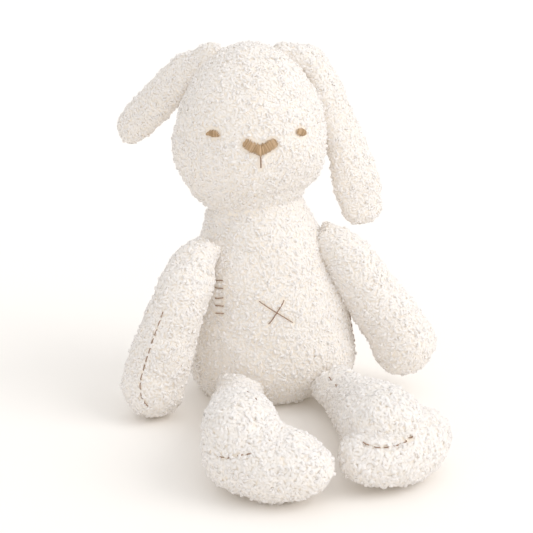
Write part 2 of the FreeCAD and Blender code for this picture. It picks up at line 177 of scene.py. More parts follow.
def ball_form(centre, sizes, heading=0.0, around=48):
    """An ellipsoid, turned about Z by `heading` degrees."""
    rise = np.radians(np.linspace(-88, 88, 30))
    turn = np.linspace(0, 2 * math.pi, around, endpoint=False)
    e, t = np.meshgrid(rise, turn, indexing="ij")
    grid = np.stack([np.cos(e) * np.cos(t), np.cos(e) * np.sin(t), np.sin(e)], -1) * sizes
    return closed_grid(grid @ spun(heading).T + centre)


def skin(name, forms, voxel, smoothing):
    """Join closed forms into one even skin; returns its vertices and quads in millimetres."""
    verts, faces, start = [], [], 0
    for v, f in forms:
        verts.append(v)
        faces += [tuple(i + start for i in face) for face in f]
        start += len(v)
    mesh = bpy.data.meshes.new(name)
    mesh.from_pydata((np.vstack(verts) * MM).tolist(), [], faces)
    obj = bpy.data.objects.new(name, mesh)
    bpy.context.scene.collection.objects.link(obj)
    remesh = obj.modifiers.new("even", "REMESH")
    remesh.mode = "VOXEL"
    remesh.voxel_size = voxel * MM
    remesh.use_smooth_shade = True
    relax = obj.modifiers.new("relax", "SMOOTH")
    relax.factor = 0.5
    relax.iterations = smoothing
    done = obj.evaluated_get(bpy.context.evaluated_depsgraph_get()).to_mesh()
    points = np.empty(len(done.vertices) * 3)
    done.vertices.foreach_get("co", points)
    loops = np.empty(len(done.loops), np.int64)
    done.loops.foreach_get("vertex_index", loops)
    sizes = np.empty(len(done.polygons), np.int64)
    done.polygons.foreach_get("loop_total", sizes)
    assert (sizes == 4).all()
    bpy.data.objects.remove(obj)
    bpy.data.meshes.remove(mesh)
    return points.reshape(-1, 3) / MM, loops.reshape(-1, 4)


def face_frames(points, quads):
    """Middle, normal and area of each quad."""
    a, b, c, d = (points[quads[:, i]] for i in range(4))
    cross = np.cross(c - a, d - b)
    area = np.linalg.norm(cross, axis=1) / 2
    return (a + b + c + d) / 4, unit(cross), area


def point_normals(points, quads):
    """The smooth outward normal at each vertex."""
    _, normal, area = face_frames(points, quads)
    total = np.zeros_like(points)
    for i in range(4):
        np.add.at(total, quads[:, i], normal * area[:, None])
    return unit(total)


def lengths_along(line):
    """How far along a line each of its places is."""
    return np.concatenate([[0], np.cumsum(np.linalg.norm(np.diff(line, axis=0), axis=1))])


def to_line(points, line):
    """Each point's distance to a polyline, and how far along it the nearest place is (0 to 1)."""
    line = np.asarray(line, float)
    best = np.full(len(points), 1e9)
    where = np.zeros(len(points))
    lengths = np.linalg.norm(np.diff(line, axis=0), axis=1)
    total, run = lengths.sum(), 0.0
    for a, b, size in zip(line[:-1], line[1:], lengths):
        t = np.clip(((points - a) @ (b - a)) / max(size * size, 1e-9), 0, 1)
        gap = np.linalg.norm(points - a - t[:, None] * (b - a), axis=1)
        nearer = gap < best
        best[nearer] = gap[nearer]
        where[nearer] = ((run + t * size) / total)[nearer]
        run += size
    return best, where


# ------------------------------------------------------------------ pile
# Each curl is a bent tube of a few rings, its middle sunk a little into the cloth.
RINGS, SIDES = 5, 4
SINK = 0.6
# A share of the curls stand up from the rest and fray the outline.
STRAY_SHARE, STRAY_LIFT, STRAY_LEAN, STRAY_SOFT = 0.16, 2.2, 2.0, 0.3
# Roots are thrown this many times too often, and one is kept in each cell of a grid.
OVERDRAW = 5
CELL_HASH = (73856093, 19349663, 83492791)


def scatter(points, quads, spacing, rng):
    """Roots spread evenly over a skin: place, normal."""
    middle, normal, area = face_frames(points, quads)
    want = int(area.sum() / spacing**2 * OVERDRAW)
    pick = rng.choice(len(quads), want, p=area / area.sum())
    s, t = rng.random((2, want, 1))
    a, b, c, d = (points[quads[pick, i]] for i in range(4))
    roots = (a * (1 - s) + b * s) * (1 - t) + (d * (1 - s) + c * s) * t
    cell = np.floor(roots / spacing).astype(np.int64)
    key = np.bitwise_xor.reduce(cell * np.array(CELL_HASH), axis=1)
    _, first = np.unique(key, return_index=True)
    first.sort()
    return roots[first], normal[pick[first]]


def sweep(line, normal, fat, sides):
    """Round strands along rows of places, closed at both ends: vertices, quads and outward."""
    count, rings = line.shape[:2]
    run = unit(np.gradient(line, axis=1))
    side = unit(np.cross(run, normal))
    up = np.cross(side, run)
    turn = np.linspace(0, 2 * math.pi, sides, endpoint=False) + math.pi / sides
    outward = (
        np.cos(turn)[None, None, :, None] * side[:, :, None]
        + np.sin(turn)[None, None, :, None] * up[:, :, None]
    )
    ring = line[:, :, None] + fat[..., None, None] * outward
    i, j = np.meshgrid(np.arange(rings - 1), np.arange(sides), indexing="ij")
    k = (j + 1) % sides
    wall = np.stack([i * sides + j, i * sides + k, (i + 1) * sides + k, (i + 1) * sides + j], -1)
    end = (rings - 1) * sides
    caps = [(0, n + 2, n + 1, n) for n in range(1, sides - 1, 2)]
    caps += [(end, end + n, end + n + 1, end + n + 2) for n in range(1, sides - 1, 2)]
    local = np.vstack([wall.reshape(-1, 4), np.array(caps)])[:, ::-1]
    quads = (local[None] + (np.arange(count) * rings * sides)[:, None, None]).reshape(-1, 4)
    return ring.reshape(-1, 3), quads, outward.reshape(-1, 3)


def curls(roots, normals, rng, length, radius, lift, flow, soft, seed, grain=9.0):
    """Short bent loops of yarn lying on a skin: vertices, quads, height, tint and shading normals.

    Neighbours point the same way over about `grain` millimetres, and `flow` is how far each strays
    from that. `soft` is how far a curl's shading follows the cloth under it, as loose fibre
    scatters light.
    """
    count = len(roots)
    helper = np.where(np.abs(normals[:, 2:3]) < 0.9, vec(0, 0, 1), vec(1, 0, 0))
    east = unit(np.cross(helper, normals))
    north = np.cross(normals, east)
    angle = waves(roots, grain, seed) * 2.6 + rng.normal(0, flow, count)
    u = east * np.cos(angle)[:, None] + north * np.sin(angle)[:, None]
    v = np.cross(normals, u)
    half = length * rng.uniform(0.65, 1.25, count) / 2
    thick = radius * rng.uniform(0.75, 1.2, count)
    stray = rng.random(count) < STRAY_SHARE
    follow = np.repeat(np.where(stray, soft * STRAY_SOFT, soft), RINGS * SIDES)[:, None]
    rise = lift * rng.uniform(0.5, 1.5, count) * np.where(stray, STRAY_LIFT, 1.0)
    bow = half * rng.uniform(-0.75, 0.75, count)
    snake = half * rng.uniform(-0.35, 0.35, count)
    lean = rng.normal(0, 0.18, count) * np.where(stray, STRAY_LEAN, 1.0)
    s = np.linspace(-1, 1, RINGS)[None, :]
    x = half[:, None] * s * (1 - 0.12 * s * s)
    y = bow[:, None] * (0.5 - s * s) + snake[:, None] * np.sin(math.pi * s)
    z = rise[:, None] * (1 - 1.35 * s**2 + 0.35 * s**4) + lean[:, None] * x - SINK
    line = (
        roots[:, None]
        + x[..., None] * u[:, None]
        + y[..., None] * v[:, None]
        + z[..., None] * normals[:, None]
    )
    fat = thick[:, None] * (0.55 + 0.45 * np.sqrt(np.clip(1 - s**2, 0, 1)))
    points, quads, outward = sweep(line, normals[:, None], fat, SIDES)
    shade = unit(outward * (1 - follow) + np.repeat(normals, RINGS * SIDES, axis=0) * follow)
    turn = np.linspace(0, 2 * math.pi, SIDES, endpoint=False) + math.pi / SIDES
    # Each vertex's height in the pile, 0 at the foot and 1 on top; the material paints warm shade at
    # the foot.
    high = z[..., None] + fat[..., None] * np.sin(turn)[None, None, :]
    high = np.clip((high + 0.2) / (lift * 1.5 + radius), 0, 1)
    tint = np.repeat(rng.random(count), RINGS * SIDES)
    return points, quads, high.reshape(-1), tint, shade


def quad_mesh(name, points, quads, attributes, shade=None):
    """A mesh object from arrays in millimetres, with shading normals if they are given."""
    mesh = bpy.data.meshes.new(name)
    mesh.vertices.add(len(points))
    mesh.vertices.foreach_set("co", (points * MM).astype(np.float32).ravel())
    mesh.loops.add(len(quads) * 4)
    mesh.loops.foreach_set("vertex_index", quads.astype(np.int32).ravel())
    mesh.polygons.add(len(quads))
    mesh.polygons.foreach_set("loop_start", np.arange(0, len(quads) * 4, 4, dtype=np.int32))
    mesh.polygons.foreach_set("use_smooth", np.ones(len(quads), bool))
    mesh.update(calc_edges=True)
    for key, values in attributes.items():
        layer = mesh.attributes.new(key, "FLOAT", "POINT")
        layer.data.foreach_set("value", values.astype(np.float32))
    if shade is not None:
        mesh.normals_split_custom_set_from_vertices(shade.astype(np.float32).tolist())
    obj = bpy.data.objects.new(name, mesh)
    bpy.context.scene.collection.objects.link(obj)
    return obj


# ------------------------------------------------------------------ materials
def material(name):
    """A new material, with its node tree and its shader."""
    made = bpy.data.materials.new(name)
    made.use_nodes = True
    tree = made.node_tree
    shader = tree.nodes["Principled BSDF"]
    return made, tree, shader


def add_node(tree, kind, **values):
    """A new node, with each value set on the input or the property of that name."""
    item = tree.nodes.new(kind)
    for key, value in values.items():
        if key in item.inputs:
            item.inputs[key].default_value = value
        else:
            setattr(item, key, value)
    return item


def two_tones(tree, attribute, deep, pale):
    """A colour ramp from deep to pale that follows one of the mesh's attributes."""
    source = add_node(tree, "ShaderNodeAttribute", attribute_name=attribute)
    ramp = add_node(tree, "ShaderNodeValToRGB")
    ramp.color_ramp.elements[0].color = (*deep, 1)
    ramp.color_ramp.elements[1].color = (*pale, 1)
    tree.links.new(source.outputs["Fac"], ramp.inputs["Fac"])
    return ramp


def fine_fibres(tree, shader, scale, detail, strength, depth):
    """Roughness finer than the modelled curls and threads."""
    place = add_node(tree, "ShaderNodeTexCoord")
    fibre = add_node(tree, "ShaderNodeTexNoise", Scale=scale, Detail=detail, Roughness=0.6)
    tree.links.new(place.outputs["Object"], fibre.inputs["Vector"])
    bump = add_node(tree, "ShaderNodeBump", Strength=strength, Distance=depth)
    tree.links.new(fibre.outputs["Fac"], bump.inputs["Height"])
    tree.links.new(bump.outputs["Normal"], shader.inputs["Normal"])


# A painted glow: the pile gives off a little warm light of its own. It stands in for light passed on
# from fibre to fibre inside the pile, which is warmer than what falls on it.
PAINTED_PILE_GLOW, PAINTED_PILE_GLOW_STRENGTH = (1.0, 0.87, 0.69), 0.085
# The part of the pile's height at which the painted shade has faded and a curl is fully pale, and
# how much curls differ.
PALE_FROM = 0.7
CURL_TINTS = (0.96, 1.03)


def boucle_material(name, deep, pale):
    """Curly pile with painted shade: warm and dark between the loops, pale on top; each loop a
    little different.
    """
    made, tree, shader = material(name)
    ramp = two_tones(tree, "pile", deep, pale)
    ramp.color_ramp.elements[1].position = PALE_FROM
    tint = add_node(tree, "ShaderNodeAttribute", attribute_name="tint")
    shift = add_node(tree, "ShaderNodeMapRange")
    shift.inputs["To Min"].default_value = CURL_TINTS[0]
    shift.inputs["To Max"].default_value = CURL_TINTS[1]
    tree.links.new(tint.outputs["Fac"], shift.inputs["Value"])
    colour = add_node(tree, "ShaderNodeHueSaturation")
    tree.links.new(shift.outputs["Result"], colour.inputs["Value"])
    tree.links.new(ramp.outputs["Color"], colour.inputs["Color"])
    tree.links.new(colour.outputs["Color"], shader.inputs["Base Color"])
    fine_fibres(tree, shader, scale=2200.0, detail=3.0, strength=0.2, depth=0.3 * MM)
    shader.inputs["Roughness"].default_value = 0.92
    shader.inputs["Specular IOR Level"].default_value = 0.0
    # Painted glow: the pile lights itself a little, in a warm colour.
    shader.inputs["Emission Color"].default_value = (*PAINTED_PILE_GLOW, 1)
    shader.inputs["Emission Strength"].default_value = PAINTED_PILE_GLOW_STRENGTH
    return made


# Its deep colour is painted warm shade at the foot of the curls; the pale one is the cream on top.
CREAM = boucle_material("cream_boucle", (0.89, 0.825, 0.745), (0.83, 0.805, 0.795))


def thread_material(name, deep, pale, shine):
    """Sewing thread: each strand a little different, with fine fibres along it."""
    made, tree, shader = material(name)
    ramp = two_tones(tree, "tint", deep, pale)
    tree.links.new(ramp.outputs["Color"], shader.inputs["Base Color"])
    fine_fibres(tree, shader, scale=4000.0, detail=2.0, strength=0.3, depth=0.2 * MM)
    shader.inputs["Roughness"].default_value = 0.6
    shader.inputs["Specular IOR Level"].default_value = shine
    return made


TAN = thread_material("tan_embroidery", (0.40, 0.26, 0.14), (0.68, 0.49, 0.31), 0.3)
BROWN = thread_material("brown_thread", (0.30, 0.18, 0.12), (0.42, 0.27, 0.19), 0.2)


# ------------------------------------------------------------------ thread and embroidery
THREAD_SIDES = 6
# Seen from the front, thread is laid on the cloth along this heading, from well outside the toy.
FORWARD = vec(0, 1, 0)
OUTSIDE = 250.0


def cloth_tree(points, quads):
    """A base cloth made ready for laying thread on it."""
    return BVHTree.FromPolygons(points.tolist(), quads.tolist())


def drop(tree, places, heading):
    """Lay places onto a cloth along a heading: where they land, and the outward normals there."""
    spots, normals = [], []
    for place in places:
        spot, normal, _, _ = tree.ray_cast(Vector(place - heading * OUTSIDE), Vector(heading))
        if spot is None:
            spot, normal, _, _ = tree.find_nearest(Vector(place))
        spots.append(spot)
        normals.append(normal)
    spots, normals = np.array(spots), np.array(normals)
    return spots, np.where((normals @ heading)[:, None] > 0, -normals, normals)


def evenly(corners, gap):
    """Places about `gap` apart along a line through the given corners."""
    corners = np.asarray(corners, float)
    if len(corners) > 2:
        corners = smooth_rows(corners, 8)
    length = lengths_along(corners)
    want = np.linspace(0, length[-1], max(5, int(length[-1] / gap)))
    return np.stack([np.interp(want, length, corners[:, i]) for i in range(corners.shape[1])], 1)


def strand(line, normal, radius, ends=0.5):
    """One round strand along a line, thinner at its ends."""
    t = np.linspace(-1, 1, len(line))
    fat = radius * (ends + (1 - ends) * (1 - t**8))
    return sweep(line[None], normal[None], fat[None], THREAD_SIDES)


# The place and the size of one ply, as parts of the whole thread's radius.
PLY_SHIFT, PLY_SIZE = 0.45, 0.65


def plied(line, normal, radius, pitch=2.2):
    """A thread of two twisted plies along a line."""
    length = lengths_along(line)
    run = unit(np.gradient(line, axis=0))
    side = unit(np.cross(run, normal))
    up = np.cross(side, run)
    made = []
    for phase in (0.0, math.pi):
        a = (2 * math.pi * length / pitch + phase)[:, None]
        shift = PLY_SHIFT * radius * (np.cos(a) * side + np.sin(a) * up)
        made.append(strand(line + shift, normal, PLY_SIZE * radius))
    return made


def stitch(tree, corners, heading, radius=0.5, height=1.75, dip=1.2):
    """One long stitch lying on the pile, its ends pulled down into the cloth."""
    line, normal = drop(tree, evenly(corners, 0.45), heading)
    t = np.linspace(-1, 1, len(line))
    rise = height - (height + dip) * np.abs(t) ** 10
    return plied(line + normal * rise[:, None], normal, radius)


SHORTEST_STITCH = 1.5


def running(tree, corners, heading, stitch_length, gap, **options):
    """A row of stitches along a line."""
    line = evenly(corners, 0.5)
    length = lengths_along(line)
    made, at = [], 0.0
    while at < length[-1] - SHORTEST_STITCH:
        stop = min(at + stitch_length, length[-1])
        knots = [at, (at + stop) / 2, stop]
        part = np.stack([np.interp(knots, length, line[:, i]) for i in range(3)], 1)
        made += stitch(tree, part, heading, **options)
        at += stitch_length + gap
    return made


def satin(tree, middle, heading, bars, radius, height, rng):
    """Satin threads side by side. Each bar is (x, z, lean, below, above) about the middle."""
    made = []
    for x, z, lean, below, above in bars:
        t = np.linspace(-1, 1, 9)
        reach = np.where(t < 0, below, above) * t
        across, up = x - np.sin(lean) * reach, z + np.cos(lean) * reach
        spots, normal = drop(tree, np.stack([across, 0 * t, up], 1) + middle, heading)
        rise = height * rng.uniform(0.88, 1.06) - 1.5 * t**6
        thick = radius * rng.uniform(0.9, 1.1)
        made.append(strand(spots + normal * rise[:, None], normal, thick))
    return made


def sewn(name, body, node, cloth, strands, seed):
    """Join strands of thread into one piece that stands for a CAD node."""
    rng = np.random.default_rng(SEED + seed)
    points, quads, tint, start = [], [], [], 0
    for p, q, _ in strands:
        points.append(p)
        quads.append(q + start)
        tint.append(np.full(len(p), rng.random()))
        start += len(p)
    piece = quad_mesh(name, np.vstack(points), np.vstack(quads), {"tint": np.concatenate(tint)})
    piece.data.materials.append(cloth)
    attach(piece, body)
    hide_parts(node)


def near(strands, distance):
    """A test for places that lie within a distance of any of the strands."""
    knots = np.vstack([p[::THREAD_SIDES] for p, _, _ in strands])

    def test(places):
        low, high = knots.min(axis=0) - distance, knots.max(axis=0) + distance
        close = np.zeros(len(places), bool)
        for i in np.nonzero(((places > low) & (places < high)).all(axis=1))[0]:
            close[i] = (((knots - places[i]) ** 2).sum(axis=1) < distance**2).any()
        return close

    return test


# ------------------------------------------------------------------ one fabric-covered body
# The base cloth lies this far inside the outline that the pile is meant to reach.
PILE_INSET = 1.5
# Nothing goes below the floor: the lowest base cloth and the lowest curl.
CLOTH_LOWEST, PILE_LOWEST = 0.35, 0.15
# How far a limb's pile may sink into the trunk's, and how far from its joint it can be flattened.
PILE_SINK, PRESS_REACH = 1.0, 75.0


def carved(skin_points, skin_quads, carve):
    """The base cloth under the pile: a smooth skin with its seams and dents pressed in."""
    normals = point_normals(skin_points, skin_quads)
    points = skin_points + normals * carve(skin_points)[:, None]
    points[:, 2] = np.maximum(points[:, 2], CLOTH_LOWEST)
    return points


def pressed(points, name, trunk, stops=5):
    """A limb's cloth flattened where it would enter the trunk's cloth along its travel."""
    joint = JOINTS[name]
    pivot, axis = joint_at(name), Vector(joint["axis"])
    out = points.copy()
    low, high = (math.radians(a) for a in joint["range_deg"])
    for angle in np.linspace(low, high, stops):
        turn = np.array(Matrix.Rotation(angle, 3, axis))
        there = (out - pivot) @ turn.T + pivot
        for i in np.flatnonzero(np.linalg.norm(out - pivot, axis=1) < PRESS_REACH):
            spot, normal, _, _ = trunk.find_nearest(Vector(there[i]))
            height = (Vector(there[i]) - spot).dot(normal)
            if height < -PILE_SINK:
                there[i] -= np.array(normal) * (height + PILE_SINK)
        out = (there - pivot) @ turn + pivot
    return out


def cover(
    body, points, skin_quads, panels, seed,
    spacing=1.85, length=3.6, radius=1.15, lift=0.65, flow=0.6, soft=0.55, bare=None,
):
    """Cover a base cloth in pile, and split it into its sewing panels.

    `panels` is a list of (name, test, nodes): a test takes places and says which belong to it; a
    place belongs to the first panel that takes it. `bare` says where no pile grows.
    """
    rng = np.random.default_rng(SEED + seed)
    roots, root_normals = scatter(points, skin_quads, spacing / DETAIL**0.5, rng)
    if bare is not None:
        keep = ~bare(roots)
        roots, root_normals = roots[keep], root_normals[keep]
    normals = point_normals(points, skin_quads)
    middle, _, _ = face_frames(points, skin_quads)
    free_faces = np.ones(len(middle), bool)
    free_roots = np.ones(len(roots), bool)
    for name, test, nodes in panels:
        mine = free_faces & test(middle)
        grow = free_roots & test(roots)
        free_faces &= ~mine
        free_roots &= ~grow
        used, local = np.unique(skin_quads[mine], return_inverse=True)
        base = points[used]
        p, q, high, tint, shade = curls(
            roots[grow], root_normals[grow], rng, length, radius, lift, flow, soft, SEED + seed * 7
        )
        p[:, 2] = np.maximum(p[:, 2], PILE_LOWEST)
        piece = quad_mesh(
            name,
            np.vstack([base, p]),
            np.vstack([local.reshape(-1, 4), q + len(base)]),
            {
                # The base cloth sits at the foot of the pile, so it takes the painted warm shade all
                # over.
                "pile": np.concatenate([np.zeros(len(base)), high]),
                "tint": np.concatenate([np.full(len(base), 0.5), tint]),
            },
            np.vstack([normals[used], shade]),
        )
        piece.data.materials.append(CREAM)
        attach(piece, body)
        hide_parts(*nodes)


def everywhere(places):
    """The test for a panel that takes whatever is left."""
    return np.ones(len(places), bool)


def base_rows(rows):
    """Rows of a tube form drawn in from the outline to the base cloth."""
    rows = np.array(rows, float)
    rows[:, 3:5] = np.maximum(rows[:, 3:5] - PILE_INSET, 1.0)
    return rows


# The size of the grid that joined forms are evened out on, and the width of a pressed-in seam.
SKIN_GRID = 1.7
SEAM_WIDTH = 1.8

# ---- torso: a pear that leans a little to its right, as rows of height, half width, half depth
NECK = joint_at("head_turn")
TORSO_LEAN = 1.5
SEAT_SEAM = 8.0
# Its side seams, in degrees round it from the front.
RIGHT_SEAM, LEFT_SEAM = -45.0, 81.0
torso_profile = [
    (-2, 40, 37), (1, 49, 45), (6, 56, 51.5), (14, 61.5, 56.5), (24, 64, 59), (36, 64.5, 59.5),
    (52, 63, 58), (68, 60.5, 55.5), (84, 57.3, 53), (102, 52, 49), (116, 46.8, 45),
    (128, 42, 41), (136, 38.2, 37.5), (141, 36.3, 35), (146, 33, 30), (150, 25, 20), (152, 12, 10),
    (152.5, 3, 3),
]
torso_rows = [
    ((NECK[0] + TORSO_LEAN) * h / NECK[2], NECK[1] * h / NECK[2], h, w, d)
    for h, w, d in torso_profile
]
torso_points, torso_quads = skin(
    "torso_skin",
    [tube_form(base_rows(torso_rows), -FORWARD, around=72, steps=4, rounded=False)],
    SKIN_GRID, 3,
)


def round_torso(p):
    """Each place's turn round the torso, in degrees from the front, and distance from its middle."""
    across, back = p[:, 0] + 4, p[:, 1] - 1
    turn = np.degrees(np.arctan2(across + p[:, 2] * 0.1, -back))
    return turn, np.hypot(across, back)


def torso_carve(p):
    out = waves(p, 60, 11) * 0.8 + waves(p, 26, 12) * 0.35
    turn, ring = round_torso(p)
    for seam in (RIGHT_SEAM, LEFT_SEAM):
        gap = np.radians(np.abs(turn - seam)) * ring
        out -= 0.6 * np.exp(-((gap / SEAM_WIDTH) ** 2)) * (p[:, 2] > SEAT_SEAM)
    out -= 1.2 * np.exp(-(((p[:, 2] - SEAT_SEAM) / 2.0) ** 2))
    return out


def torso_front(p):
    turn, _ = round_torso(p)
    return (turn > RIGHT_SEAM) & (turn < LEFT_SEAM)


torso_points = carved(torso_points, torso_quads, torso_carve)
torso_tree = cloth_tree(torso_points, torso_quads)


FINE_THREAD, SEAM_THREAD = 0.43, 0.42
(left, _, bottom), (right, _, top) = box_mm("belly_cross_stitch")
width = right - left
cross = []
for start, end in (
    ((left, 0, top - 1.4), (right, 0, bottom - 0.9)),
    ((right - 0.25 * width, 0, top - 1.4), (left + 0.27 * width, 0, bottom - 0.7)),
):
    cross += stitch(torso_tree, [start, end], FORWARD, radius=FINE_THREAD)
LADDER = node_centre("side_ladder_stitches") + vec(1.4, 0, -1.6)
# Each rung's height above the middle, and how much its outer end is the higher.
LADDER_RUNGS = [(12.2, 0.9), (6.8, 0.5), (-0.6, 1.2), (-6.3, 0.5), (-12.0, 0.8)]
ladder = []
for level, rise in LADDER_RUNGS:
    ladder += stitch(
        torso_tree,
        [LADDER + vec(-2.9, 0, level - rise / 2), LADDER + vec(2.7, 0, level + rise / 2)],
        FORWARD, radius=FINE_THREAD, height=1.6, dip=1.6,
    )
SIDE = node_centre("left_side_seam_thread")
side_seam = running(
    torso_tree,
    [SIDE + vec(0, -1.5, 23), SIDE + vec(0, 0, 0), SIDE + vec(0, 1.0, -23)],
    vec(-1, 0, 0), 7.0, 1.5, radius=SEAM_THREAD, height=1.3,
)
sewn("belly_cross", "torso", "belly_cross_stitch", BROWN, cross, 31)
sewn("side_ladder", "torso", "side_ladder_stitches", BROWN, ladder, 32)
sewn("left_side_seam", "torso", "left_side_seam_thread", BROWN, side_seam, 33)

cover(
    "torso", torso_points, torso_quads,
    [
        ("seat_fabric", lambda p: p[:, 2] < SEAT_SEAM - 1, ["seat_panel", "seat_pellet_bag"]),
        ("torso_front_fabric", torso_front, ["torso_front_panel", "torso_filling"]),
        ("torso_back_fabric", everywhere, ["torso_back_panel"]),
    ],
    seed=1, bare=near(cross + ladder + side_seam, 2.0),
)

# ---- head: an egg, fuller below
# It sits on the neck, and comes over its own middle within a short rise.
HEAD_CENTRE, HEAD_SETTLES = vec(-17.0, 10.0), 22.0
HEAD_DEPTH_RATIO = 0.9
FACE_BACK = 18
# Rows of height and half width.
head_profile = [
    (134, 14), (137, 24), (141, 30), (145, 34.5), (152, 41), (160.5, 47.8), (173.5, 54.3),
    (184.5, 57), (194, 57.3), (210.5, 54.9), (223.3, 50.7), (234, 45.3), (245, 38.4), (253.5, 30),
    (259, 22), (262.5, 13), (263.8, 6), (264.2, 1),
]
head_rows = []
for h, w in head_profile:
    share = min(1.0, max(0.0, (h - NECK[2]) / HEAD_SETTLES))
    x, y = NECK[:2] * (1 - share) + HEAD_CENTRE * share
    head_rows.append((x, y, h, w, w * HEAD_DEPTH_RATIO))
head_points, head_quads = skin(
    "head_skin",
    [tube_form(base_rows(head_rows), -FORWARD, around=72, steps=4, rounded=False)],
    SKIN_GRID, 3,
)


def head_carve(p):
    return waves(p, 55, 21) * 0.7 + waves(p, 22, 22) * 0.3


head_points = carved(head_points, head_quads, head_carve)
head_tree = cloth_tree(head_points, head_quads)

# The nose: two rounded wings that rise to each side from a point below, in satin stitch.
NOSE = node_centre("nose_embroidery") + vec(-0.4, 0, 0)
NOSE_RADIUS, WING_ACROSS, WING_UP, WING_ROOT = 3.7, 8.8, 4.9, -2.45
# The threads fan out over the first part of a wing, a little closer together there.
FAN, PITCH, PITCH_LESS = 4.5, 0.72, 0.18
STAGGER, RAGGED, SHORTEST = 0.3, 0.65, 0.5
needle = np.random.default_rng(SEED + 41)
slope = math.atan2(WING_UP, WING_ACROSS)
reach = math.hypot(WING_ACROSS, WING_UP)
nose_bars = []
s = -(reach + NOSE_RADIUS) + 0.25
while s < reach + NOSE_RADIUS - 0.2:
    far = abs(s)
    lean = slope * min(1.0, far / FAN) * math.copysign(1, s)
    past = max(0.0, far - reach)
    half = math.sqrt(max(0.0, NOSE_RADIUS**2 - past**2))
    stagger = STAGGER * (-1) ** len(nose_bars)
    below = half + stagger + needle.uniform(-RAGGED, RAGGED)
    above = half / math.cos(slope - abs(lean)) - stagger + needle.uniform(-RAGGED, RAGGED)
    across, up = s * math.cos(slope), WING_ROOT + far * math.sin(slope)
    nose_bars.append((across, up, lean, max(below, SHORTEST), max(above, SHORTEST)))
    s += PITCH - PITCH_LESS * math.exp(-((far / 4) ** 2))
nose = satin(head_tree, NOSE, FORWARD, nose_bars, 0.4, 2.2, needle)
sewn("nose", "head", "nose_embroidery", TAN, nose, 34)

# The mouth: one stitch straight down from the nose.
(_, _, mouth_low), _ = box_mm("mouth_stitch")
mouth_across = node_centre("mouth_stitch")[0] - 0.5
nose_point = NOSE[2] + WING_ROOT - NOSE_RADIUS
mouth = stitch(
    head_tree,
    [vec(mouth_across - 0.2, 0, nose_point + 1.0), vec(mouth_across + 0.3, 0, mouth_low)],
    FORWARD, radius=0.55,
)
sewn("mouth", "head", "mouth_stitch", BROWN, mouth, 35)

# The eyes: half-moons of upright satin stitches. Each is its half width, its rise above and drop
# below its middle, its tilt in degrees, and how far it lies from the middle of its CAD node.
EYE_PITCH = 0.58
eyes = []
for side, half_width, rise, drop_below, tilt, shift, seed in (
    ("right", 4.2, 3.6, 1.1, 0.0, vec(0.7, 0, -1.2), 36),
    ("left", 3.9, 2.9, 2.4, -24.0, vec(-1.7, 0, 1.4), 37),
):
    turn = math.radians(tilt)
    eye_bars = []
    for x in np.arange(-half_width + 0.2, half_width, EYE_PITCH):
        dome = (1 - (x / half_width) ** 2) ** 0.55
        below = drop_below * dome + needle.uniform(-0.3, 0.45)
        above = rise * dome + needle.uniform(-0.3, 0.3)
        eye_bars.append((x * math.cos(turn), x * math.sin(turn), turn, below, above))
    centre = node_centre(side + "_eye_embroidery") + shift
    eye = satin(head_tree, centre, FORWARD, eye_bars, 0.36, 2.1, needle)
    sewn(side + "_eye", "head", side + "_eye_embroidery", TAN, eye, seed)
    eyes += eye

cover(
    "head", head_points, head_quads,
    [
        ("face_fabric", lambda p: p[:, 1] < FACE_BACK, ["face_panel", "head_filling"]),
        ("back_of_head_fabric", everywhere, ["back_of_head_panel"]),
    ],
    seed=2, bare=near(nose + mouth + eyes, 2.4),
)

# ---- neck: the gathered ball that shows in the crease
neck_points, neck_quads = skin("neck_skin", [ball_form(NECK, (33, 32, 31))], 2.0, 2)
cover(
    "neck", neck_points, neck_quads,
    [("neck_fabric", everywhere, ["neck_gather_band", "neck_filling"])],
    seed=3, spacing=3.4,
)

# ---- ears
LEFT_EAR = joint_at("left_ear_lift")
RIGHT_EAR = joint_at("right_ear_lift")
left_ear_rows = [
    (*LEFT_EAR, 11, 9), (19, 19.5, 251, 13, 10), (30, 20, 246.5, 15, 10.5), (40, 21, 230, 16, 10.5),
    (48, 21.5, 206, 16.5, 10.5), (58.5, 20.5, 179, 18, 10.5), (65.5, 18.5, 152, 19.5, 10),
    (69.5, 16, 133, 17.5, 9.5),
]
# It turns over as it folds down: it faces up at its root and forward lower down.
left_ear_facing = [
    (0.2, 0, 1.0), (0.3, 0, 1.0), (0.8, -0.4, 0.6), (0.9, -0.7, 0.3), (0.7, -0.9, 0.2),
    (0.5, -0.9, 0.1), (0.3, -1.0, 0.1), (0.3, -1.0, 0.1),
]
right_ear_rows = [
    (*RIGHT_EAR, 11, 9), (-51, 28, 248, 12.5, 9.5), (-60, 36, 240.5, 14, 10.5),
    (-75.7, 49, 221, 15.5, 10.5), (-90, 64, 202, 15.5, 10.5), (-100, 76, 188, 14, 9.5),
]
right_ear_facing = (-0.45, -0.75, 0.45)
for side, rows, facing, front, seed in (
    ("left", left_ear_rows, left_ear_facing, left_ear_facing[5], 4),
    ("right", right_ear_rows, right_ear_facing, right_ear_facing, 5),
):
    ear_form = tube_form(base_rows(rows), facing, bulge=2.3)
    points, quads = skin(side + "_ear_skin", [ear_form], 1.5, 2)
    line = np.array(rows)[:, :3]
    run = unit(line[-1] - line[1])
    look = unit(np.array(front, float))
    look = unit(look - run * (look @ run))
    middle = (line[1] + line[-1]) / 2

    def ear_front(p, look=look, middle=middle):
        return (p - middle) @ look > 0

    def ear_carve(p, seed=seed):
        return waves(p, 35, seed * 13) * 0.6 + waves(p, 15, seed * 17) * 0.3

    points = carved(points, quads, ear_carve)
    cover(
        side + "_ear", points, quads,
        [
            (
                side + "_ear_front_fabric", ear_front,
                [side + "_ear_front_panel", side + "_ear_filling"],
            ),
            (side + "_ear_back_fabric", everywhere, [side + "_ear_back_panel"]),
        ],
        seed=seed,
    )

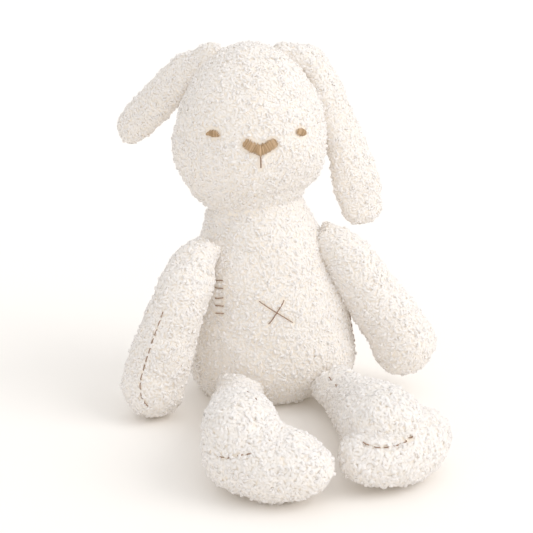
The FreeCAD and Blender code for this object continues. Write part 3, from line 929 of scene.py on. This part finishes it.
# ---- arms
# Where the brown topstitch runs down the right arm, seen from the front.
ARM_SEAM = [
    (-90.2, 0, 85.5), (-95, 0, 74), (-101, 0, 58.5), (-105.5, 0, 44.5), (-108.5, 0, 34.5),
    (-108, 0, 24), (-103.3, 0, 16.5),
]
LEFT_ARM = joint_at("left_arm_lift")
left_arm_rows = [
    (*LEFT_ARM, 12, 12), (50, -14, 107, 19, 19), (66.5, -17, 81, 22, 22), (83.5, -19, 57, 23, 23),
    (94.5, -22, 37.6, 24.5, 24.5),
]
right_arm_rows = [
    (-54, -20, 118, 11, 11), (-66, -30, 107, 18, 19), (-78, -42, 83, 20.5, 21.5),
    (-88.5, -45, 56, 22.5, 22.5), (-98, -47, 24.5, 24, 24),
]
for side, rows, seam_look, seed in (
    ("left", left_arm_rows, vec(-0.35, -0.94, 0), 6),
    ("right", right_arm_rows, vec(0.35, -0.94, 0), 7),
):
    arm_form = tube_form(base_rows(rows), vec(0, -1, 0.2))
    points, quads = skin(side + "_arm_skin", [arm_form], 1.6, 2)
    line = np.array(rows)[:, :3]
    run = unit(line[-1] - line[1])
    look = unit(seam_look - run * (seam_look @ run))

    def arm_front(p, look=look, middle=line[2]):
        return (p - middle) @ look > 0

    def arm_carve(p, look=look, middle=line[2], seed=seed):
        gap = np.abs((p - middle) @ look)
        seam = np.exp(-((gap / 2.0) ** 2))
        return waves(p, 40, seed * 13) * 0.7 + waves(p, 18, seed * 17) * 0.3 - seam

    points = pressed(carved(points, quads, arm_carve), side + "_arm_lift", torso_tree)
    bare = None
    if side == "right":
        tree = cloth_tree(points, quads)
        arm_seam = running(tree, ARM_SEAM, FORWARD, 5.0, 1.8, radius=0.36, height=1.15, dip=1.0)
        sewn(
            "right_arm_seam", "right_arm", "right_arm_seam_thread", BROWN,
            arm_seam, 38,
        )
        bare = near(arm_seam, 1.3)
    cover(
        side + "_arm", points, quads,
        [
            (
                side + "_arm_front_fabric", arm_front,
                [side + "_arm_front_panel", side + "_arm_filling"],
            ),
            (side + "_arm_back_fabric", everywhere, [side + "_arm_back_panel"]),
        ],
        seed=seed, length=3.9, lift=0.7, radius=1.2, bare=bare,
    )

# ---- legs
# Thin running stitches across each foot, and the few that show on each shin.
FOOT_STITCHES = {
    "left": [(25.5, 0, 39), (34.5, 0, 37.5), (47, 0, 37.5), (54, 0, 39.2), (58.5, 0, 41.5)],
    "right": [(-71.5, 0, 34.5), (-65.5, 0, 35.2), (-57, 0, 38.5), (-49, 0, 40.5)],
}
SHIN_STITCHES = {
    "left": [
        [(29.3, -70, 0), (29.3, -78, 0)], [(29.2, -96, 0), (28.8, -103, 0)],
        [(27.5, -116, 0), (26.7, -124, 0)],
    ],
    "right": [[(-46.2, -166.2, 0), (-45.6, -169.2, 0)], [(-43.2, -181, 0), (-42.6, -184.2, 0)]],
}
# How high the stitches across each foot stand, how deep the cloth is drawn in under them, and how
# much the hollow between shin and foot is drawn in (or filled, where negative).
SMILE_HEIGHT = {"left": 2.0, "right": 1.5}
SMILE_DEPTH = {"left": 1.8, "right": 0.7}
ANKLE_DEPTH = {"left": 0.8, "right": -2.4}
# A foot's half length, half depth and half height, for the base cloth.
FOOT = vec(46.5, 29.5, 25.0) - PILE_INSET
# The radius of a ball about as big round as the foot.
FOOT_ROUND = 27
LEFT_LEG = joint_at("left_leg_lift")
RIGHT_LEG = joint_at("right_leg_lift")
left_leg_rows = [
    (*LEFT_LEG, 17, 16), (41, -88, 21, 20, 18), (45, -128, 28, 24.5, 23),
    (44.5, -170, 37.5, 28, 26.5), (45, -186, 40.5, 27.5, 25.5),
]
right_leg_rows = [
    (*RIGHT_LEG, 17, 14.5), (-41, -88, 19.5, 19.5, 16), (-45.5, -126, 26.5, 24, 22.5),
    (-50.5, -170, 37, 26.5, 26), (-52.5, -186, 39.5, 27, 25.5),
]
for side, rows, foot_at, heading, seed in (
    ("left", left_leg_rows, node_centre("left_foot_panel"), 32.0, 8),
    ("right", right_leg_rows, node_centre("right_foot_panel") + vec(-2.5, -3.5, 0), -33.0, 9),
):
    leg_form = tube_form(base_rows(rows), vec(0, 0, 1))
    foot_form = ball_form(foot_at, FOOT, heading)
    points, quads = skin(side + "_leg_skin", [leg_form, foot_form], SKIN_GRID, 9)

    def on_foot(p, foot_at=foot_at, heading=heading):
        """About how far outside the foot's outline a place is."""
        local = (p - foot_at) @ spun(heading) / FOOT
        return (np.linalg.norm(local, axis=1) - 1) * FOOT_ROUND

    def on_shin(p, rows=base_rows(rows)):
        """About how far outside the shin's outline a place is."""
        gap, where = to_line(p, rows[:, :3])
        return gap - np.interp(where, np.linspace(0, 1, len(rows)), rows[:, 3])

    smile_line = evenly(FOOT_STITCHES[side], 1.0)
    foot_front = foot_at[1] + 4.0

    def leg_carve(p, seed=seed, side=side):
        hollow = np.exp(-((on_foot(p) / 3.5) ** 2)) * np.exp(-((on_shin(p) / 3.5) ** 2))
        out = waves(p, 45, seed * 13) * 0.8 + waves(p, 20, seed * 17) * 0.4
        out -= ANKLE_DEPTH[side] * hollow
        gap, _ = to_line(p[:, [0, 2]], smile_line[:, [0, 2]])
        drawn_in = np.exp(-((gap / SEAM_WIDTH) ** 2)) * (p[:, 1] < foot_front)
        return out - SMILE_DEPTH[side] * drawn_in

    def foot_side(p, on_foot=on_foot, on_shin=on_shin):
        return on_foot(p) < on_shin(p)

    def inner_side(p, middle=np.array(rows)[1, :3], sign=-1.0 if side == "left" else 1.0):
        return ((p - middle) @ vec(sign, 0.12, 0)) > 0

    points = pressed(carved(points, quads, leg_carve), side + "_leg_lift", torso_tree)
    tree = cloth_tree(points, quads)
    smile = running(
        tree, FOOT_STITCHES[side], FORWARD, 4.2, 2.0, radius=SEAM_THREAD, height=SMILE_HEIGHT[side]
    )
    shin = []
    for dash in SHIN_STITCHES[side]:
        shin += stitch(tree, dash, vec(0, 0, -1.0), radius=SEAM_THREAD, height=1.5)
    for name, node, strands, offset in (
        ("_foot_stitches", "_ankle_stitch", smile, 40), ("_shin_stitches", "_shin_stitch", shin, 50)
    ):
        sewn(side + name, side + "_leg", side + node, BROWN, strands, seed + offset)
    cover(
        side + "_leg", points, quads,
        [
            (side + "_foot_fabric", foot_side, [side + "_foot_panel", side + "_foot_filling"]),
            (
                side + "_leg_inner_fabric", inner_side,
                [side + "_leg_inner_panel", side + "_leg_filling"],
            ),
            (side + "_leg_outer_fabric", everywhere, [side + "_leg_outer_panel"]),
        ],
        seed=seed, spacing=1.95, length=4.3, radius=1.4, lift=0.8, flow=0.5,
        bare=near(smile + shin, 1.6),
    )

# ------------------------------------------------------------------ floor, light and camera
def stage_floor():
    bpy.ops.mesh.primitive_plane_add(size=12, location=(0, 0, 0))
    floor = bpy.context.object
    floor.name = "stage_floor"
    made, tree, shader = material("stage_white")
    shader.inputs["Base Color"].default_value = (0.98, 0.95, 0.915, 1)
    shader.inputs["Roughness"].default_value = 1.0
    shader.inputs["Specular IOR Level"].default_value = 0.0
    floor.data.materials.append(made)


def sun_light(name, place, aim, spread, power, colour):
    """A large soft lamp, far enough away to light the whole floor evenly."""
    data = bpy.data.lights.new(name, "SUN")
    data.angle = math.radians(spread)
    data.energy = power
    data.color = colour
    lamp = bpy.data.objects.new(name, data)
    bpy.context.scene.collection.objects.link(lamp)
    lamp.location = place
    lamp.rotation_euler = (Vector(aim) - Vector(place)).to_track_quat("-Z", "Y").to_euler()
    return lamp


stage_floor()
sun_light("key", (2.0, -1.1, 2.0), (0, 0, 0.1), 42, 0.80, (1.0, 0.99, 0.975))
world = bpy.data.worlds.new("studio")
bpy.context.scene.world = world
world.use_nodes = True
backdrop = world.node_tree.nodes["Background"]
backdrop.inputs["Color"].default_value = (1, 1, 1, 1)
# The studio wall on the toy's right is further away, so less light comes from there.
sky_place = add_node(world.node_tree, "ShaderNodeTexCoord")
sky_axes = add_node(world.node_tree, "ShaderNodeSeparateXYZ")
sky_fade = add_node(world.node_tree, "ShaderNodeMapRange")
sky_fade.interpolation_type = "SMOOTHSTEP"
for socket, value in (("From Min", -0.85), ("From Max", -0.12), ("To Min", 0.72), ("To Max", 1.0)):
    sky_fade.inputs[socket].default_value = value
world.node_tree.links.new(sky_place.outputs["Generated"], sky_axes.inputs["Vector"])
world.node_tree.links.new(sky_axes.outputs["X"], sky_fade.inputs["Value"])
world.node_tree.links.new(sky_fade.outputs["Result"], backdrop.inputs["Strength"])
bpy.context.scene.view_settings.view_transform = "Standard"

# The camera: degrees to one side and up, then its distance and aim in metres.
AZIMUTH, ELEVATION, DISTANCE = -9.0, 18.0, 1.5
AIM = vec(-0.0065, 0.0, 0.0965)
SENSOR, LENS = 36.0, 135.1
az, el = math.radians(AZIMUTH), math.radians(ELEVATION)
back = vec(math.sin(az) * math.cos(el), -math.cos(az) * math.cos(el), math.sin(el))
camera_data = bpy.data.cameras.new("camera")
camera_data.sensor_width = SENSOR
camera_data.lens = LENS
camera = bpy.data.objects.new("camera", camera_data)
bpy.context.scene.collection.objects.link(camera)
camera.location = AIM + DISTANCE * back
camera.rotation_euler = (math.pi / 2 - el, 0.0, az)
bpy.context.scene.camera = camera
